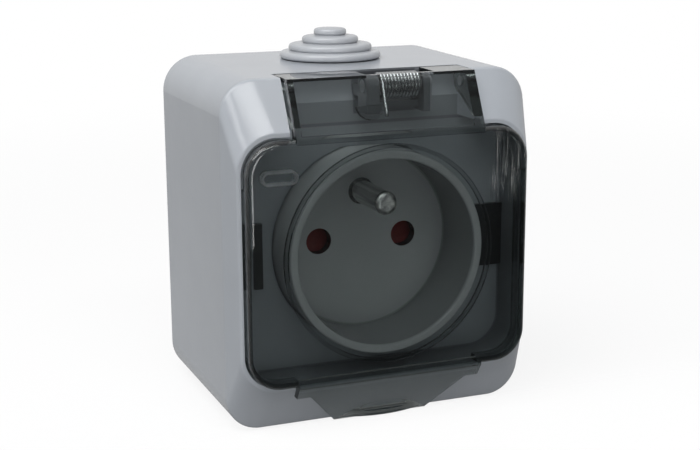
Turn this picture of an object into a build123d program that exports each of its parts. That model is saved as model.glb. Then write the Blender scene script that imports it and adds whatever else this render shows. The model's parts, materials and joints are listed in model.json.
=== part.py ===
from build123d import *
import os
from math import atan2, cos, degrees, radians, sin, sqrt, tan

# Outdoor surface-mounted socket with an earth pin and a sprung, see-through lid.
# Millimetres. The wall is the plane y = 0, the front faces -Y, +X is to the right and +Z is up.
# The origin is where the socket's axis meets the wall, and every "depth" is a distance in front of it.

# Housing
wall_width = 66.6           # section against the wall, along X
wall_height = 72.3          # section against the wall, along Z
corner_radius = 7.6
draft = 0.75                # degrees, so the housing narrows towards the front
body_depth = 47.0           # wall to the lip of the lid opening
chamfer_depth = 5.4         # depth of the sloping front frame
shell = 2.2                 # wall thickness
crease_fillet = 0.8         # rounding where the sides meet the sloping frame
lip = 0.8                   # width of the rim around the lid opening
lip_fillet = 0.5
opening_width = 60.7
opening_height = 50.4
opening_radius = 7.0
opening_drop = 0.3          # the opening's centre lies this far below the socket's axis
recess_depth = 10.8         # lip to the recess floor
floor_wall = 2.2            # thickness of the recess floor

# Socket insert
well_radius = 19.15
collar_wall = 1.7
collar_gap = 0.25           # collar to the hole in the recess floor
well_depth = 14.8
well_floor = 2.6
rim_fillet = 0.4
flange_radius = 24.0
live_spacing = 19.0
live_hole_radius = 2.75
earth_pin_radius = 2.4
earth_pin_length = 14.0
earth_pin_tip = 1.0         # rounding of the pin's end
earth_shank_radius = 2.8    # the pin's thicker part, pressed into the insert and the carrier
earth_pin_z = 10.0

# Lid and its hinge
lid_proud = 3.0             # front of the lid to the lip
lid_wall = 1.8
lid_gap = 0.3
lid_edge = 1.2              # rounding of the lid's front edge
skirt_depth = 2.0           # how far the lid's skirt reaches into the opening
skirt_wall = 1.2
skirt_top = 15.0            # the skirt stops here, so that the lid can swing
rib_radius = 22.4           # ring on the inside of the lid, around the collar
rib_wall = 0.8
rib_height = 0.9
pad_length = 7.7            # oblong pad on the inside of the lid
pad_width = 3.1
pad_height = 0.4
pad_x = -23.4
pad_z = 17.5
tongue_width = 40.0
tongue_top_wall = 1.0
tongue_run = 8.4            # length of the tongue's flat top
tongue_lap = 2.0            # overlap of the tongue and the apron on the lid's panel
stop_radius = 2.9           # half-round stop on the inside of the tongue
stop_height = 0.7
cheek = 1.6
eye_radius = 2.6
hinge_back = 6.6            # lip to the hinge axis
hinge_drop = 2.85           # hinge axis below the tongue's top
hinge_gap = 0.3             # tongue to the sides of its notch
hinge_pin_radius = 1.0
hinge_pin_grip = 3.4        # length of a hinge pin inside the housing
cheek_foot = 1.3            # lower corner of the lid's cheeks above the opening
running_fit = 0.06
press_fit = 0.02
apron_band = 2.8            # height of the apron's full-width band
apron_step = 2.9            # the apron narrows by this much on each side
apron_bottom_width = 20.5
apron_clear = 0.35          # apron to the housing's lower slope
apron_lift = 1.0            # thickness of the apron's lower edge
tab_reach = 2.6             # apron's foot to the tip of the finger tab
tab_height = 1.0            # thickness of the tab's tip
tab_lift = 0.7              # the tab's lower face above the apron's foot
tab_rise = 4.0              # the tab's curl starts this far above the apron's foot

# Lid spring and its arbor
spring_start = 0.1          # left end of the coil, along X
spring_length = 9.0
spring_radius = 2.4         # centre line of the wire
spring_wire = 0.75
spring_turns = 11           # whole turns, before the part turn between the two legs
lid_leg = 7.5               # leg that lies behind the tongue
fixed_leg = 3.4             # leg that stands in the housing's trough
lug_gap = 0.3
left_lug = 2.8
right_lug = 1.8
lug_radius = 2.3
seat_front = 0.6            # hinge axis to the front of the seat below the spring
seat_wall = 1.2
arbor_radius = 1.3

# Cover clips
clip_wall = 1.0
clip_low = -7.5
clip_high = 6.0
clip_reach = 7.0
clip_tail = 2.0
clip_tail_in = 3.0          # wall of the recess to the tail
clip_barb = 1.0

# Cable grommet
grommet_depth = 15.2        # wall to the grommet's axis
grommet_base = 10.87        # radius of the lowest step
grommet_second = 8.95
grommet_third = 6.07
grommet_top = 3.5
grommet_rise = 1.6          # height of one step
grommet_neck = 8.4
grommet_lip = 9.7
grommet_lip_height = 1.5
grommet_bore = 6.9
grommet_skin = 1.1
grommet_fit = 0.1

# Back plate and seal
back_plate_wall = 3.0
back_plate_fit = 0.3
seal_depth = 0.8            # wall to the seal's groove
seal_width = 1.4
seal_groove = 1.2
seal_fit = 0.05
wall_hole_radius = 2.25
wall_hole_x = 44.0          # spacing of the wall screws along X
wall_hole_z = 52.0
post_radius = 4.0

# Contact carrier
carrier_width = 42.0
carrier_height = 38.0
carrier_radius = 5.0
carrier_back = 13.0         # wall to the carrier
ear_offset = 4.5            # edge of the carrier to the axis of an ear's screw
ear_radius = 5.0
ear_wall = 3.0
pocket_gap = 0.3            # room around pieces that sit in the carrier

# Contacts, terminals and their screws
contact_bore = 2.45
contact_wall = 1.45
contact_front = 0.4         # contact to the floor of the shutter pocket
contact_floor = 1.0         # plastic left behind the contacts
contact_slit = 0.8
terminal_start = 12.5
terminal_length = 8.1
terminal_height = 7.2
terminal_depth = 7.4
wire_hole_radius = 1.6
terminal_screw_radius = 1.5
terminal_screw_length = 4.2
terminal_head_radius = 2.4
terminal_head = 1.8
strap_wall = 1.5
strap_width = 7.0
strap_depth = 18.5          # wall to the earth strap
strap_low = 6.5
earth_block_low = 13.2
earth_block_depth = 5.0
rivet_radius = 1.5
rivet_head_radius = 2.2
rivet_head = 0.9
screw_slot = 0.6

# Screws that hold the insert and the carrier
insert_screw_x = 32.0       # spacing along X
insert_screw_z = 26.0
insert_screw_radius = 1.3
insert_screw_reach = 2.9    # length inside the insert
screw_hole_spare = 0.4      # room past a screw's tip
insert_head_radius = 2.6
screw_head = 1.8            # height of a screw's head
carrier_screw_radius = 1.4
carrier_screw_reach = 7.0   # length inside the post
carrier_head_radius = 3.0
screw_clearance = 0.3

# Safety shutter
shutter_margin = 4.0        # shutter past the centre of each live hole
shutter_height = 7.2
shutter_wall = 2.6
shutter_travel = 7.0
ramp_low = -1.5             # where the sloping face starts
ramp_depth = 2.0
shutter_spring_room = 6.1   # length of the spring's own slot
shutter_spring_radius = 1.05
shutter_spring_wire = 0.5
shutter_spring_turns = 8
shutter_spring_fit = 0.1

overcut = 5.0               # how far cutting shapes run past the material


def front(depth):
    """Plane that faces the user, at a distance in front of the wall."""
    return Plane.XZ.offset(depth)


# Places that several pieces share
crease_depth = body_depth - chamfer_depth
taper_in = crease_depth * tan(radians(draft))
crease_width = wall_width - 2 * taper_in
crease_height = wall_height - 2 * taper_in
crease_radius = corner_radius - taper_in
top_z = crease_height / 2
cavity_width = crease_width - 2 * shell
cavity_height = crease_height - 2 * shell
cavity_radius = crease_radius - shell
cavity_top = cavity_height / 2
opening_top = opening_height / 2 - opening_drop
opening_bottom = -opening_height / 2 - opening_drop
opening_side = opening_width / 2
plate_depth = body_depth - recess_depth
plate_back = plate_depth - floor_wall
collar_radius = well_radius + collar_wall
floor_depth = body_depth - well_depth
insert_back = floor_depth - well_floor
axis_y = -(body_depth - hinge_back)
axis_z = top_z - hinge_drop
notch_side = tongue_width / 2 + hinge_gap
tongue_back_y = axis_y + tongue_run / 2
tongue_front_y = axis_y - tongue_run / 2
tongue_sweep = sqrt((tongue_run / 2) ** 2 + hinge_drop**2)
trough_radius = tongue_sweep + hinge_gap
notch_back = max(trough_radius, -plate_depth - axis_y)
lid_front_y = -(body_depth + lid_proud)
lid_inner_y = lid_front_y + lid_wall
lid_back_y = -(body_depth + lid_gap)
lid_top = opening_top - lid_gap
lid_bottom = opening_bottom + lid_gap
slope_run = tongue_front_y - lid_front_y
slope_rise = top_z - lid_top
slope_length = sqrt(slope_run**2 + slope_rise**2)
slope_normal = degrees(atan2(slope_rise, slope_run)) + 90
clip_height = clip_high - clip_low
clip_z = (clip_high + clip_low) / 2
clip_tail_x = opening_side - clip_tail_in - clip_tail / 2
ear_z = carrier_height / 2 + ear_offset
shutter_front = insert_back - pocket_gap
shutter_back = shutter_front - shutter_wall
pocket_floor = shutter_back - pocket_gap
shutter_half = live_spacing / 2 + shutter_margin
contact_radius = contact_bore + contact_wall
contact_back = carrier_back + contact_floor + pocket_gap
earth_top = carrier_height / 2 - pocket_gap
right_lug_x = spring_start + spring_length + lug_gap
left_lug_x = spring_start - lug_gap - left_lug
arbor_length = right_lug_x + right_lug - left_lug_x


def lower_slope_y(z, clear):
    """Y of a line in front of the housing's lower slope, at height z."""
    lip_z = opening_bottom - lip
    share = (z - lip_z) / (-top_z - lip_z)
    return -(body_depth - share * chamfer_depth) - clear


with BuildPart() as housing:
    with BuildSketch(front(0)):
        RectangleRounded(wall_width, wall_height, corner_radius)
    extrude(amount=crease_depth, taper=draft)
    with BuildSketch(front(crease_depth)):
        RectangleRounded(crease_width, crease_height, crease_radius)
    with BuildSketch(front(body_depth)):
        with Locations((0, -opening_drop)):
            RectangleRounded(opening_width + 2 * lip, opening_height + 2 * lip, opening_radius + lip)
    loft()
    fillet(housing.edges().group_by(Axis.Y)[0], lip_fillet)
    crease_y = -crease_depth
    fillet(housing.edges().filter_by_position(Axis.Y, crease_y, crease_y), crease_fillet)
    # Hollow rear, open to the wall
    with BuildSketch(front(0)):
        RectangleRounded(cavity_width, cavity_height, cavity_radius)
    extrude(amount=plate_back, mode=Mode.SUBTRACT)
    # Recess behind the lid, and the round hole for the socket's collar
    with BuildSketch(front(plate_depth)):
        with Locations((0, -opening_drop)):
            RectangleRounded(opening_width, opening_height, opening_radius)
    extrude(amount=recess_depth, mode=Mode.SUBTRACT)
    with BuildSketch(front(plate_back)):
        Circle(collar_radius + collar_gap)
    extrude(amount=floor_wall, mode=Mode.SUBTRACT)
    # Hollow behind the lower slope
    hollow_top = opening_bottom - shell
    slope_wall = shell * sqrt(1 + ((top_z + opening_bottom - lip) / chamfer_depth) ** -2)
    with BuildSketch(Plane.YZ):
        with BuildLine():
            Polyline(
                (-plate_back, hollow_top),
                (lower_slope_y(hollow_top, -slope_wall), hollow_top),
                (lower_slope_y(-cavity_top, -slope_wall), -cavity_top),
                (-plate_back, -cavity_top),
                close=True,
            )
        make_face()
    extrude(amount=opening_side - opening_radius, both=True, mode=Mode.SUBTRACT)
    # Wall behind the hinge, then the notch that the lid's tongue turns in
    hinge_wall_y = axis_y + trough_radius + shell
    hinge_wall_z = axis_z - trough_radius - shell
    with BuildSketch(Plane.YZ):
        with BuildLine():
            Polyline(
                (-plate_back, hinge_wall_z),
                (hinge_wall_y, hinge_wall_z),
                (hinge_wall_y, cavity_top),
                (-plate_back, cavity_top),
                close=True,
            )
        make_face()
    extrude(amount=notch_side + shell, both=True)
    with BuildSketch(Plane.YZ):
        with Locations((axis_y, axis_z)):
            Circle(trough_radius)
        with BuildLine():
            Polyline(
                (-plate_depth, opening_top - overcut),
                (-body_depth - overcut, opening_top - overcut),
                (-body_depth - overcut, top_z + overcut),
                (axis_y, top_z + overcut),
                (axis_y, axis_z),
                (-plate_depth, axis_z),
                close=True,
            )
        make_face()
    extrude(amount=notch_side, both=True, mode=Mode.SUBTRACT)
    # Lugs that carry the spring's arbor
    for lug_x, lug_width in ((left_lug_x, left_lug), (right_lug_x, right_lug)):
        with BuildSketch(Plane.YZ.offset(lug_x)):
            with Locations((axis_y, axis_z)):
                Circle(lug_radius)
            with Locations((axis_y, axis_z - trough_radius / 2)):
                Rectangle(2 * lug_radius, trough_radius + lug_gap)
            with Locations((axis_y + notch_back / 2, axis_z - lug_radius / 2)):
                Rectangle(notch_back + lug_gap, lug_radius)
        extrude(amount=lug_width)
    # Seat between the lugs, where the spring's fixed leg stands
    seat_top = axis_z - fixed_leg - running_fit
    with BuildSketch(Plane.YZ.offset(left_lug_x + left_lug)):
        with Locations((axis_y + seat_front, seat_top)):
            Rectangle(notch_back, seat_wall, align=(Align.MIN, Align.MAX))
    extrude(amount=right_lug_x - left_lug_x - left_lug)
    with BuildSketch(Plane.YZ.offset(left_lug_x)):
        with Locations((axis_y, axis_z)):
            Circle(arbor_radius + press_fit)
    extrude(amount=arbor_length, mode=Mode.SUBTRACT)
    # Blind holes for the two hinge pins
    for side in (-1, 1):
        with BuildSketch(Plane.YZ.offset(side * notch_side)):
            with Locations((axis_y, axis_z)):
                Circle(hinge_pin_radius + press_fit)
        extrude(amount=side * hinge_pin_grip, mode=Mode.SUBTRACT)
    # Slots for the tails of the cover clips
    with BuildSketch(front(plate_back)):
        with Locations((-clip_tail_x, clip_z), (clip_tail_x, clip_z)):
            Rectangle(clip_tail + 2 * clip_barb, clip_height)
    extrude(amount=floor_wall, mode=Mode.SUBTRACT)
    # Cable entry in the top wall
    with BuildSketch(Plane.XY.offset(cavity_top)):
        with Locations((0, -grommet_depth)):
            Circle(grommet_neck + grommet_fit)
    extrude(amount=shell + overcut, mode=Mode.SUBTRACT)
housing.part.label = "housing"

with BuildPart() as back_plate:
    with BuildSketch(front(0)):
        RectangleRounded(
            cavity_width - 2 * back_plate_fit,
            cavity_height - 2 * back_plate_fit,
            cavity_radius - back_plate_fit,
        )
    extrude(amount=back_plate_wall)
    # Groove for the seal
    with BuildSketch(front(seal_depth)):
        RectangleRounded(cavity_width, cavity_height, cavity_radius)
        groove = back_plate_fit + seal_groove
        RectangleRounded(
            cavity_width - 2 * groove,
            cavity_height - 2 * groove,
            cavity_radius - groove,
            mode=Mode.SUBTRACT,
        )
    extrude(amount=seal_width, mode=Mode.SUBTRACT)
    # Posts for the carrier's screws
    with BuildSketch(front(back_plate_wall)):
        with Locations((0, ear_z), (0, -ear_z)):
            Circle(post_radius)
    extrude(amount=carrier_back - back_plate_wall)
    with BuildSketch(front(carrier_back)):
        with Locations((0, ear_z), (0, -ear_z)):
            Circle(carrier_screw_radius + press_fit)
    extrude(amount=-carrier_screw_reach - screw_hole_spare, mode=Mode.SUBTRACT)
    # Holes for the wall screws
    with BuildSketch(front(0)):
        with GridLocations(wall_hole_x, wall_hole_z, 2, 2):
            Circle(wall_hole_radius)
    extrude(amount=back_plate_wall, mode=Mode.SUBTRACT)
back_plate.part.label = "back_plate"

with BuildPart() as housing_seal:
    with BuildSketch(front(seal_depth + seal_fit)):
        RectangleRounded(
            cavity_width - 2 * seal_fit,
            cavity_height - 2 * seal_fit,
            cavity_radius - seal_fit,
        )
        inset = back_plate_fit + seal_groove - seal_fit
        RectangleRounded(
            cavity_width - 2 * inset,
            cavity_height - 2 * inset,
            cavity_radius - inset,
            mode=Mode.SUBTRACT,
        )
    extrude(amount=seal_width - 2 * seal_fit)
housing_seal.part.label = "housing_seal"

with BuildPart() as cable_grommet:
    # Half section: stepped cone outside, neck through the wall, lip inside, hollow below
    grommet_steps = [grommet_base, grommet_second, grommet_third, grommet_top]
    seat = wall_height / 2 - (grommet_depth - grommet_base) * tan(radians(draft))
    rim = [(grommet_bore, cavity_top - grommet_lip_height), (grommet_lip, cavity_top - grommet_lip_height)]
    rim += [(grommet_lip, cavity_top), (grommet_neck, cavity_top), (grommet_neck, seat)]
    for number, radius in enumerate(grommet_steps):
        rim += [(radius, seat + number * grommet_rise), (radius, seat + (number + 1) * grommet_rise)]
    crown = seat + len(grommet_steps) * grommet_rise
    inside = [(0, crown), (0, crown - grommet_skin), (grommet_top - grommet_skin, crown - grommet_skin)]
    with BuildSketch(Plane.XZ.offset(grommet_depth)):
        with BuildLine():
            Polyline(*rim, *inside, close=True)
        make_face()
    revolve(axis=Axis((0, -grommet_depth, 0), (0, 0, 1)))
cable_grommet.part.label = "cable_grommet"

with BuildPart() as socket_insert:
    with BuildSketch(front(insert_back)):
        Circle(flange_radius)
    extrude(amount=plate_back - insert_back)
    with BuildSketch(front(plate_back)):
        Circle(collar_radius)
    extrude(amount=body_depth - plate_back)
    with BuildSketch(front(floor_depth)):
        Circle(well_radius)
    extrude(amount=well_depth, mode=Mode.SUBTRACT)
    fillet(socket_insert.edges().group_by(Axis.Y)[0], rim_fillet)
    with BuildSketch(front(insert_back)):
        with GridLocations(live_spacing, 0, 2, 1):
            Circle(live_hole_radius)
    extrude(amount=well_floor, mode=Mode.SUBTRACT)
    with BuildSketch(front(insert_back)):
        with Locations((0, earth_pin_z)):
            Circle(earth_shank_radius + press_fit)
    extrude(amount=well_floor, mode=Mode.SUBTRACT)
    with BuildSketch(front(insert_back)):
        with GridLocations(insert_screw_x, insert_screw_z, 2, 2):
            Circle(insert_screw_radius + press_fit)
    extrude(amount=insert_screw_reach + screw_hole_spare, mode=Mode.SUBTRACT)
socket_insert.part.label = "socket_insert"

with BuildPart() as contact_carrier:
    with BuildSketch(front(carrier_back)):
        RectangleRounded(carrier_width, carrier_height, carrier_radius)
    extrude(amount=insert_back - carrier_back)
    with BuildSketch(front(carrier_back)):
        SlotCenterToCenter(2 * ear_z, 2 * ear_radius, rotation=90)
    extrude(amount=ear_wall)
    # Pocket where the shutter slides, with a slot for its spring
    with BuildSketch(front(pocket_floor)):
        with Locations((0, -shutter_travel / 2)):
            Rectangle(2 * (shutter_half + pocket_gap), shutter_height + shutter_travel + 2 * pocket_gap)
        pocket_bottom = -shutter_height / 2 - shutter_travel - pocket_gap
        with Locations((0, pocket_bottom - shutter_spring_room / 2)):
            Rectangle(2 * (shutter_spring_radius + shutter_spring_wire), shutter_spring_room)
    extrude(amount=insert_back - pocket_floor, mode=Mode.SUBTRACT)
    # Bores for the contacts, and the channels that lead to their terminals
    with BuildSketch(front(contact_back - pocket_gap)):
        with GridLocations(live_spacing, 0, 2, 1):
            Circle(contact_radius + pocket_gap)
    extrude(amount=pocket_floor - contact_back + pocket_gap, mode=Mode.SUBTRACT)
    channel_length = carrier_width / 2 - live_spacing / 2
    with BuildSketch(front(contact_back - pocket_gap)):
        with GridLocations(live_spacing + channel_length, 0, 2, 1):
            Rectangle(channel_length, terminal_height + 2 * pocket_gap)
    extrude(amount=terminal_depth + 2 * pocket_gap, mode=Mode.SUBTRACT)
    # Pocket for the earth strap, open at the top, and the earth pin's hole
    strap_pocket_low = strap_low - pocket_gap
    with BuildSketch(front(strap_depth - rivet_head - pocket_gap)):
        with Locations((0, (strap_pocket_low + carrier_height / 2) / 2)):
            Rectangle(strap_width + 2 * pocket_gap, carrier_height / 2 - strap_pocket_low)
    extrude(amount=rivet_head + strap_wall + earth_block_depth + 2 * pocket_gap, mode=Mode.SUBTRACT)
    with BuildSketch(front(strap_depth)):
        with Locations((0, earth_pin_z)):
            Circle(earth_shank_radius + press_fit)
    extrude(amount=insert_back - strap_depth, mode=Mode.SUBTRACT)
    # Screw holes, with sunk heads at the back for the insert's screws
    with BuildSketch(front(carrier_back)):
        with GridLocations(insert_screw_x, insert_screw_z, 2, 2):
            Circle(insert_screw_radius + screw_clearance)
        with GridLocations(0, 2 * ear_z, 1, 2):
            Circle(carrier_screw_radius + screw_clearance)
    extrude(amount=insert_back - carrier_back, mode=Mode.SUBTRACT)
    with BuildSketch(front(carrier_back)):
        with GridLocations(insert_screw_x, insert_screw_z, 2, 2):
            Circle(insert_head_radius + screw_clearance)
    extrude(amount=screw_head, mode=Mode.SUBTRACT)
contact_carrier.part.label = "contact_carrier"

with BuildPart() as insert_screws:
    with BuildSketch(front(carrier_back)):
        with GridLocations(insert_screw_x, insert_screw_z, 2, 2):
            Circle(insert_head_radius)
    extrude(amount=screw_head)
    with BuildSketch(front(carrier_back + screw_head)):
        with GridLocations(insert_screw_x, insert_screw_z, 2, 2):
            Circle(insert_screw_radius)
    extrude(amount=insert_back + insert_screw_reach - carrier_back - screw_head)
    with BuildSketch(front(carrier_back)):
        with GridLocations(insert_screw_x, insert_screw_z, 2, 2):
            Rectangle(2 * insert_head_radius, screw_slot)
    extrude(amount=screw_head / 2, mode=Mode.SUBTRACT)
insert_screws.part.label = "insert_screws"

with BuildPart() as carrier_screws:
    ear_front = carrier_back + ear_wall
    with BuildSketch(front(ear_front)):
        with GridLocations(0, 2 * ear_z, 1, 2):
            Circle(carrier_head_radius)
    extrude(amount=screw_head)
    with BuildSketch(front(ear_front)):
        with GridLocations(0, 2 * ear_z, 1, 2):
            Circle(carrier_screw_radius)
    extrude(amount=-ear_wall - carrier_screw_reach)
    with BuildSketch(front(ear_front + screw_head)):
        with GridLocations(0, 2 * ear_z, 1, 2):
            Rectangle(2 * carrier_head_radius, screw_slot)
    extrude(amount=-screw_head / 2, mode=Mode.SUBTRACT)
carrier_screws.part.label = "carrier_screws"

# Contact on each side: a slit sleeve for the plug's pin, and a terminal block in one piece with it
contacts = {}
terminal_end = terminal_start + terminal_length
terminal_wire_x = terminal_start + terminal_length / 2
terminal_mid = contact_back + terminal_depth / 2
for name, side in (("neutral_contact", -1), ("line_contact", 1)):
    with BuildPart() as contact:
        with BuildSketch(front(contact_back)):
            with Locations((side * live_spacing / 2, 0)):
                Circle(contact_radius)
        extrude(amount=pocket_floor - contact_front - contact_back)
        with BuildSketch(front(contact_back)):
            with Locations((side * (live_spacing / 2 + terminal_end) / 2, 0)):
                Rectangle(terminal_end - live_spacing / 2, terminal_height)
        extrude(amount=terminal_depth)
        with BuildSketch(front(contact_back)):
            with Locations((side * live_spacing / 2, 0)):
                Circle(contact_bore)
        extrude(amount=pocket_floor - contact_front - contact_back, mode=Mode.SUBTRACT)
        with BuildSketch(front(contact_back + terminal_depth)):
            with Locations((side * live_spacing / 2, 0)):
                Rectangle(contact_slit, 2 * contact_radius)
        extrude(amount=pocket_floor - contact_back, mode=Mode.SUBTRACT)
        with BuildSketch(Plane.XY):
            with Locations((side * terminal_wire_x, -terminal_mid)):
                Circle(wire_hole_radius)
        extrude(amount=terminal_height, both=True, mode=Mode.SUBTRACT)
        with BuildSketch(Plane.YZ.offset(side * terminal_end)):
            with Locations((-terminal_mid, 0)):
                Circle(terminal_screw_radius + press_fit)
        extrude(amount=-side * terminal_length / 2, mode=Mode.SUBTRACT)
    contact.part.label = name
    contacts[name] = contact.part

with BuildPart() as earth_strap:
    strap_mid = (strap_low + earth_top) / 2
    with BuildSketch(front(strap_depth)):
        with Locations((0, strap_mid)):
            Rectangle(strap_width, earth_top - strap_low)
    extrude(amount=strap_wall)
    block_mid = (earth_block_low + earth_top) / 2
    with BuildSketch(front(strap_depth + strap_wall)):
        with Locations((0, block_mid)):
            Rectangle(strap_width, earth_top - earth_block_low)
    extrude(amount=earth_block_depth)
    with BuildSketch(front(strap_depth)):
        with Locations((0, earth_pin_z)):
            Circle(rivet_radius + press_fit)
    extrude(amount=strap_wall, mode=Mode.SUBTRACT)
    earth_wire_depth = strap_depth + strap_wall + earth_block_depth / 2
    with BuildSketch(Plane.YZ):
        with Locations((-earth_wire_depth, block_mid)):
            Circle(wire_hole_radius)
    extrude(amount=strap_width, both=True, mode=Mode.SUBTRACT)
    with BuildSketch(Plane.XY.offset(earth_top)):
        with Locations((0, -earth_wire_depth)):
            Circle(terminal_screw_radius + press_fit)
    extrude(amount=block_mid - earth_top, mode=Mode.SUBTRACT)
earth_strap.part.label = "earth_strap"

with BuildPart() as earth_pin:
    pin_back = strap_depth + strap_wall
    with BuildSketch(front(floor_depth)):
        with Locations((0, earth_pin_z)):
            Circle(earth_pin_radius)
    extrude(amount=earth_pin_length)
    fillet(earth_pin.edges().group_by(Axis.Y)[0], earth_pin_tip)
    with BuildSketch(front(pin_back)):
        with Locations((0, earth_pin_z)):
            Circle(earth_shank_radius)
    extrude(amount=floor_depth - pin_back)
    # Rivet end, closed over the strap
    with BuildSketch(front(strap_depth)):
        with Locations((0, earth_pin_z)):
            Circle(rivet_radius)
    extrude(amount=strap_wall)
    with BuildSketch(front(strap_depth - rivet_head)):
        with Locations((0, earth_pin_z)):
            Circle(rivet_head_radius)
    extrude(amount=rivet_head)
earth_pin.part.label = "earth_pin"

with BuildPart() as terminal_screws:
    seats = [
        Plane((terminal_end, -terminal_mid, 0), x_dir=(0, 1, 0), z_dir=(1, 0, 0)),
        Plane((-terminal_end, -terminal_mid, 0), x_dir=(0, 1, 0), z_dir=(-1, 0, 0)),
        Plane((0, -earth_wire_depth, earth_top), x_dir=(1, 0, 0), z_dir=(0, 0, 1)),
    ]
    for seat_plane in seats:
        with BuildSketch(seat_plane):
            Circle(terminal_head_radius)
        extrude(amount=terminal_head)
        with BuildSketch(seat_plane):
            Circle(terminal_screw_radius)
        extrude(amount=-terminal_screw_length / 2)
        with BuildSketch(seat_plane.offset(terminal_head)):
            Rectangle(2 * terminal_head_radius, screw_slot)
        extrude(amount=-terminal_head / 2, mode=Mode.SUBTRACT)
terminal_screws.part.label = "terminal_screws"

with BuildPart() as shutter:
    with BuildSketch(front(shutter_back)):
        Rectangle(2 * shutter_half, shutter_height)
    extrude(amount=shutter_wall)
    # Sloping face that the plug's pins push down
    with BuildSketch(Plane.YZ):
        with BuildLine():
            Polyline(
                (-shutter_front, ramp_low),
                (-shutter_front, shutter_height / 2),
                (-shutter_front + ramp_depth, shutter_height / 2),
                close=True,
            )
        make_face()
    extrude(amount=shutter_half, both=True, mode=Mode.SUBTRACT)
shutter.part.label = "shutter"

# Compression spring below the shutter
shutter_spring_top = -shutter_height / 2 - shutter_spring_wire / 2 - shutter_spring_fit
shutter_spring_low = pocket_bottom - shutter_spring_room + shutter_spring_wire / 2 + shutter_spring_fit
shutter_spring_length = shutter_spring_top - shutter_spring_low
shutter_coil = Pos(0, -(pocket_floor + insert_back) / 2, shutter_spring_low) * Helix(
    shutter_spring_length / shutter_spring_turns, shutter_spring_length, shutter_spring_radius
)
with BuildPart() as shutter_spring:
    with BuildSketch(Plane(origin=shutter_coil @ 0, z_dir=shutter_coil % 0)):
        Circle(shutter_spring_wire / 2)
    sweep(path=shutter_coil, is_frenet=True)
shutter_spring.part.label = "shutter_spring"

# Black clips that hold the housing, one on each side of the recess
clips = {}
for name, side in (("cover_clip_left", -1), ("cover_clip_right", 1)):
    with BuildPart() as clip:
        with BuildSketch(front(plate_depth)):
            with Locations((side * (opening_side - clip_reach / 2), clip_z)):
                Rectangle(clip_reach, clip_height)
        extrude(amount=clip_wall)
        with BuildSketch(front(plate_back - clip_barb)):
            with Locations((side * clip_tail_x, clip_z)):
                Rectangle(clip_tail, clip_height)
        extrude(amount=floor_wall + clip_barb)
        with BuildSketch(front(plate_back - clip_barb)):
            with Locations((side * (clip_tail_x + clip_barb), clip_z)):
                Rectangle(clip_tail + 2 * clip_barb, clip_height)
        extrude(amount=clip_barb)
    clip.part.label = name
    clips[name] = clip.part

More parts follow.
